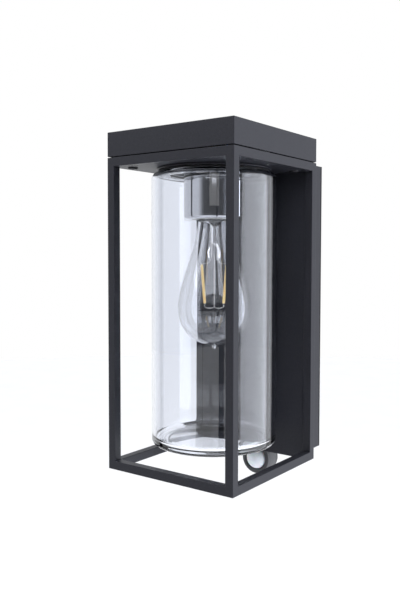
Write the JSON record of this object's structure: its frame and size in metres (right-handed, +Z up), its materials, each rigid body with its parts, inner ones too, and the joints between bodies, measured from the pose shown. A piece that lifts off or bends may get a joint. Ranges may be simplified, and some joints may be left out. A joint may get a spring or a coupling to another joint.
{
  "type": "outdoor wall lantern",
  "caption": "Square open-frame wall lantern with a box cap, a cylindrical clear glass jar round a screw-cap filament lamp, a shallow wall box and a motion sensor below it.",
  "frame": {"origin": "on the wall face, on the centre line of the wall bracket, level with the middle of the wall box", "axes": "+Z up, the lantern faces -Y, +Y points into the wall, +X to the right seen from the front"},
  "size_m": [0.131, 0.1525, 0.3166],
  "materials": {
    "coat": "fine satin anthracite powder coat on aluminium",
    "cup_metal": "smooth satin turned metal",
    "zinc": "zinc-plated steel",
    "brass": "plain brass",
    "bright": "nickel-plated, bright",
    "ceramic": "glazed white porcelain",
    "rubber": "matt black EPDM",
    "jar_glass": "clear pressed glass",
    "lamp_glass": "clear thin blown glass",
    "screw_black": "black finished steel",
    "black_plastic": "fine textured black plastic",
    "lens_plastic": "milky white polyethylene",
    "white_plastic": "moulded white plastic",
    "board": "green solder mask",
    "phosphor": "yellow phosphor coating",
    "wire_blue": "PVC insulation",
    "wire_brown": "PVC insulation",
    "wire_earth": "green and yellow PVC insulation",
    "wire_grey": "PVC sheath"
  },
  "bodies": {
    "lantern": {"post_front_left": "coat", "post_front_right": "coat", "post_rear_left": "coat", "post_rear_right": "coat", "bottom_rail_front": "coat", "bottom_rail_left": "coat", "bottom_rail_right": "coat", "top_rail_front": "coat", "top_rail_rear": "coat", "top_rail_left": "coat", "top_rail_right": "coat", "top_plate": "coat", "cap": "coat", "back_plate": "coat", "wall_box": "coat", "jar_collar": "coat", "cap_screw_front_left": "screw_black", "cap_screw_front_right": "screw_black", "cap_screw_rear_left": "screw_black", "cap_screw_rear_right": "screw_black", "box_screw_left": "bright", "box_screw_right": "bright", "wall_bracket": "zinc", "collar_lock_ring": "zinc", "holder_nut": "zinc", "holder_strap": "zinc", "strap_screw_left": "zinc", "strap_screw_right": "zinc", "wall_seal": "rubber", "inlet_grommet": "rubber", "lampholder_cup": "cup_metal", "socket_body": "ceramic", "socket_shell": "brass", "socket_contact": "brass", "holder_nipple": "brass", "earth_screw": "brass", "sensor_element": "bright", "sensor_body": "black_plastic", "sensor_bezel": "black_plastic", "sensor_cover": "black_plastic", "sensor_neck": "black_plastic", "sensor_lens": "lens_plastic", "terminal_block": "white_plastic", "sensor_board": "board", "lamp_wire_neutral": "wire_blue", "lamp_wire_live": "wire_brown", "earth_wire": "wire_earth", "sensor_lead": "wire_grey"},
    "lamp_tip": {"lamp_contact": "bright"},
    "lamp": {"lamp_cap": "bright", "lamp_cap_insulator": "black_plastic", "lamp_envelope": "lamp_glass", "lamp_stem": "lamp_glass", "lamp_filament_1": "phosphor", "lamp_filament_2": "phosphor", "lamp_support": "bright"},
    "jar_ring": {"jar_seal": "rubber"},
    "jar": {"glass_jar": "jar_glass"},
    "time_knob": {"time_dial": "white_plastic"},
    "light_knob": {"light_dial": "white_plastic"}
  },
  "joints": [
    {"name": "lamp_travel", "type": "slide", "parent": "lantern", "child": "lamp_tip", "axis": [0, 0, -1], "range_m": [0, 0.0199]},
    {"name": "lamp_turn", "type": "hinge", "parent": "lamp_tip", "child": "lamp", "pos_m": [0, -0.087, 0], "axis": [0, 0, -1], "range_deg": [0, 1980]},
    {"name": "jar_drop", "type": "slide", "parent": "lantern", "child": "jar_ring", "axis": [0, 0, -1], "range_m": [0, 0.19]},
    {"name": "jar_turn", "type": "hinge", "parent": "jar_ring", "child": "jar", "pos_m": [0, -0.087, 0], "axis": [0, 0, -1], "range_deg": [0, 540]},
    {"name": "time_turn", "type": "hinge", "parent": "lantern", "child": "time_knob", "pos_m": [-0.005, -0.0106, -0.1523], "axis": [0, 0, 1], "range_deg": [-135, 135]},
    {"name": "light_turn", "type": "hinge", "parent": "lantern", "child": "light_knob", "pos_m": [0.005, -0.0106, -0.1523], "axis": [0, 0, 1], "range_deg": [-135, 135]}
  ],
  "couplings": [
    {"joint": "lamp_turn", "follows": "lamp_travel", "rad_per_m": 1731.3}
  ]
}
